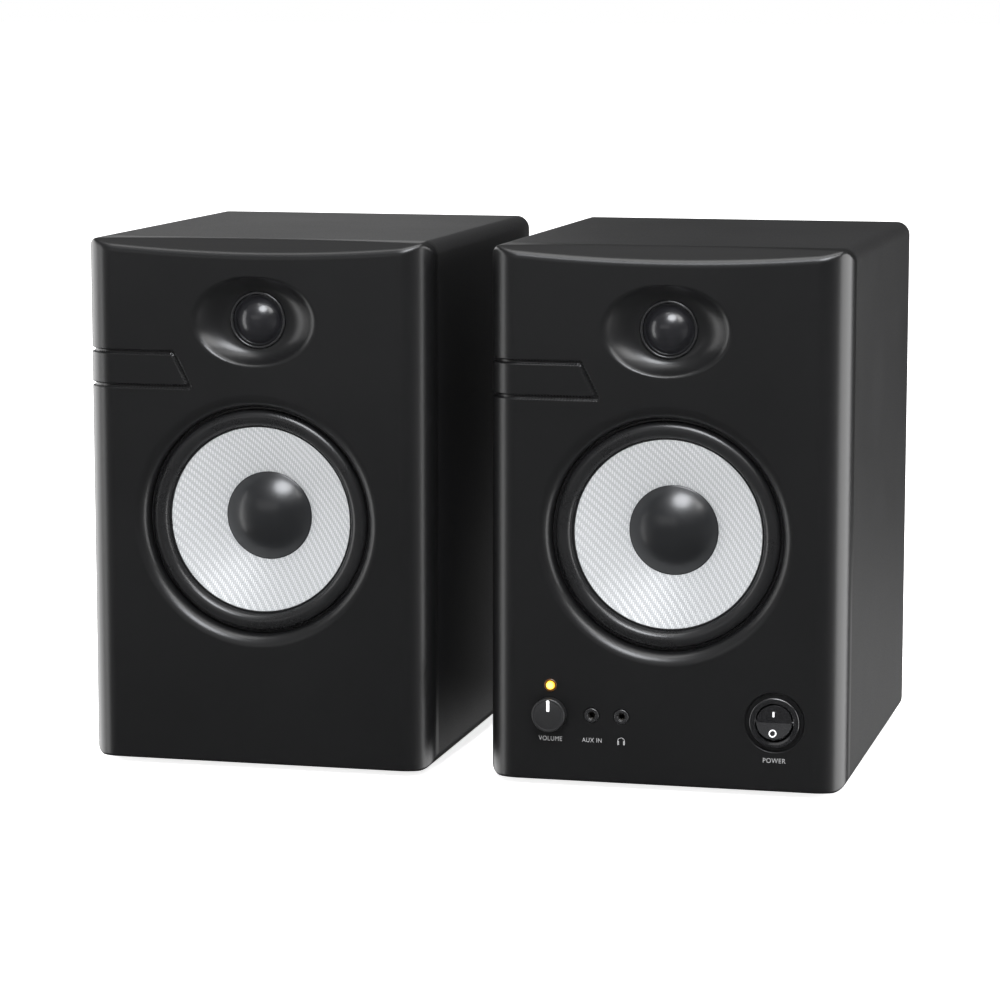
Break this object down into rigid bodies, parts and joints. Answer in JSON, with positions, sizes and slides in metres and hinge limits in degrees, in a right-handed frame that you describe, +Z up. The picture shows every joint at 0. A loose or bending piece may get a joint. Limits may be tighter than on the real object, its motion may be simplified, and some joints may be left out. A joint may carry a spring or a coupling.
{
  "type": "pair of desktop speakers",
  "caption": "Pair of black two-way desktop speakers with pale woven woofer cones, dome tweeters in elliptical guides, and volume knob, sockets and power rocker on the right one.",
  "frame": {"origin": "centre of the pair on the surface they stand on, at the middle of their overall box", "axes": "+X to the right as seen from the front, +Y towards the back, +Z up; the speakers face -Y"},
  "size_m": [0.394, 0.242, 0.272],
  "materials": {
    "cabinet_vinyl": "satin, fine grain",
    "baffle_plastic": "satin",
    "foot_rubber": "matt",
    "black_plastic": "moulded",
    "lining": "loose fibre",
    "basket_steel": "black enamel",
    "ferrite": "sintered",
    "zinc_steel": "zinc plated",
    "copper": "enamelled wire",
    "spider_cloth": "resin cloth",
    "cone_weave": "glass-fibre twill, coated",
    "cap_gloss": "gloss",
    "surround_rubber": "satin",
    "dome_silk": "coated silk",
    "screw_steel": "black zinc",
    "panel_paint": "fine texture",
    "sink_aluminium": "black anodised",
    "circuit_board": "solder resist",
    "capacitor_sleeve": "shrink sleeve",
    "core_steel": "lacquered laminations",
    "lever_black": "moulded",
    "lever_red": "moulded",
    "knob_plastic": "moulded, satin",
    "led_lens": "lit lens",
    "switch_gloss": "gloss"
  },
  "bodies": {
    "right_speaker": {"right_cabinet": "cabinet_vinyl", "right_baffle": "baffle_plastic", "right_feet": "foot_rubber", "right_port_tube": "black_plastic", "right_wadding": "lining", "right_woofer_basket": "basket_steel", "right_woofer_magnet": "ferrite", "right_woofer_pole_plates": "zinc_steel", "right_woofer_spider": "spider_cloth", "right_woofer_surround": "surround_rubber", "right_tweeter_ring": "black_plastic", "right_tweeter_motor": "zinc_steel", "right_screws": "screw_steel", "amplifier_panel": "panel_paint", "heat_sink": "sink_aluminium", "amplifier_board": "circuit_board", "smoothing_capacitors": "capacitor_sleeve", "transformer": "core_steel", "rca_sockets": "black_plastic", "trs_sockets": "black_plastic", "mains_inlet": "black_plastic", "bass_switch_body": "black_plastic", "output_terminal": "black_plastic", "control_board": "circuit_board", "volume_potentiometer": "zinc_steel", "power_led": "led_lens", "aux_socket": "black_plastic", "headphone_socket": "black_plastic", "power_switch": "switch_gloss"},
    "left_speaker": {"left_cabinet": "cabinet_vinyl", "left_baffle": "baffle_plastic", "left_feet": "foot_rubber", "left_port_tube": "black_plastic", "left_wadding": "lining", "left_woofer_basket": "basket_steel", "left_woofer_magnet": "ferrite", "left_woofer_pole_plates": "zinc_steel", "left_woofer_spider": "spider_cloth", "left_woofer_surround": "surround_rubber", "left_tweeter_ring": "black_plastic", "left_tweeter_motor": "zinc_steel", "left_screws": "screw_steel", "crossover": "circuit_board", "input_terminal": "black_plastic"},
    "right_woofer_diaphragm": {"right_woofer_cone": "cone_weave", "right_woofer_dust_cap": "cap_gloss", "right_woofer_voice_coil": "copper"},
    "left_woofer_diaphragm": {"left_woofer_cone": "cone_weave", "left_woofer_dust_cap": "cap_gloss", "left_woofer_voice_coil": "copper"},
    "right_tweeter_diaphragm": {"right_tweeter_dome": "dome_silk"},
    "left_tweeter_diaphragm": {"left_tweeter_dome": "dome_silk"},
    "volume_control": {"volume_knob": "knob_plastic", "volume_shaft": "zinc_steel"},
    "power_key": {"power_rocker": "switch_gloss"},
    "bass_selector": {"bass_switch_slider": "black_plastic"},
    "output_clip_black": {"output_lever_black": "lever_black"},
    "output_clip_red": {"output_lever_red": "lever_red"},
    "input_clip_black": {"input_lever_black": "lever_black"},
    "input_clip_red": {"input_lever_red": "lever_red"}
  },
  "joints": [
    {"name": "speakers_apart", "type": "slide", "parent": "right_speaker", "child": "left_speaker", "axis": [-1, 0, 0], "range_m": [-0.02, 0.4]},
    {"name": "right_woofer_stroke", "type": "slide", "parent": "right_speaker", "child": "right_woofer_diaphragm", "axis": [0, -1, 0], "range_m": [-0.004, 0.004], "stiffness_N_per_m": 1200},
    {"name": "right_tweeter_stroke", "type": "slide", "parent": "right_speaker", "child": "right_tweeter_diaphragm", "axis": [0, -1, 0], "range_m": [-0.0004, 0.0004], "stiffness_N_per_m": 3000},
    {"name": "left_woofer_stroke", "type": "slide", "parent": "left_speaker", "child": "left_woofer_diaphragm", "axis": [0, -1, 0], "range_m": [-0.004, 0.004], "stiffness_N_per_m": 1200},
    {"name": "left_tweeter_stroke", "type": "slide", "parent": "left_speaker", "child": "left_tweeter_diaphragm", "axis": [0, -1, 0], "range_m": [-0.0004, 0.0004], "stiffness_N_per_m": 3000},
    {"name": "volume_turn", "type": "hinge", "parent": "right_speaker", "child": "volume_control", "pos_m": [0.0483, -0.115, 0.0373], "axis": [0, 1, 0], "range_deg": [-150, 150]},
    {"name": "power_rock", "type": "hinge", "parent": "right_speaker", "child": "power_key", "pos_m": [0.162, -0.114, 0.0382], "axis": [1, 0, 0], "range_deg": [0, 22]},
    {"name": "bass_slide", "type": "slide", "parent": "right_speaker", "child": "bass_selector", "axis": [1, 0, 0], "range_m": [0, 0.004]},
    {"name": "output_press_black", "type": "hinge", "parent": "right_speaker", "child": "output_clip_black", "pos_m": [0.125, 0.107, 0.1015], "axis": [-1, 0, 0], "range_deg": [0, 20], "stiffness_Nm_per_rad": 0.3, "springref_deg": -5.73},
    {"name": "output_press_red", "type": "hinge", "parent": "right_speaker", "child": "output_clip_red", "pos_m": [0.147, 0.107, 0.1015], "axis": [-1, 0, 0], "range_deg": [0, 20], "stiffness_Nm_per_rad": 0.3, "springref_deg": -5.73},
    {"name": "input_press_black", "type": "hinge", "parent": "left_speaker", "child": "input_clip_black", "pos_m": [-0.117, 0.105, 0.0795], "axis": [-1, 0, 0], "range_deg": [0, 20], "stiffness_Nm_per_rad": 0.3, "springref_deg": -5.73},
    {"name": "input_press_red", "type": "hinge", "parent": "left_speaker", "child": "input_clip_red", "pos_m": [-0.095, 0.105, 0.0795], "axis": [-1, 0, 0], "range_deg": [0, 20], "stiffness_Nm_per_rad": 0.3, "springref_deg": -5.73}
  ]
}
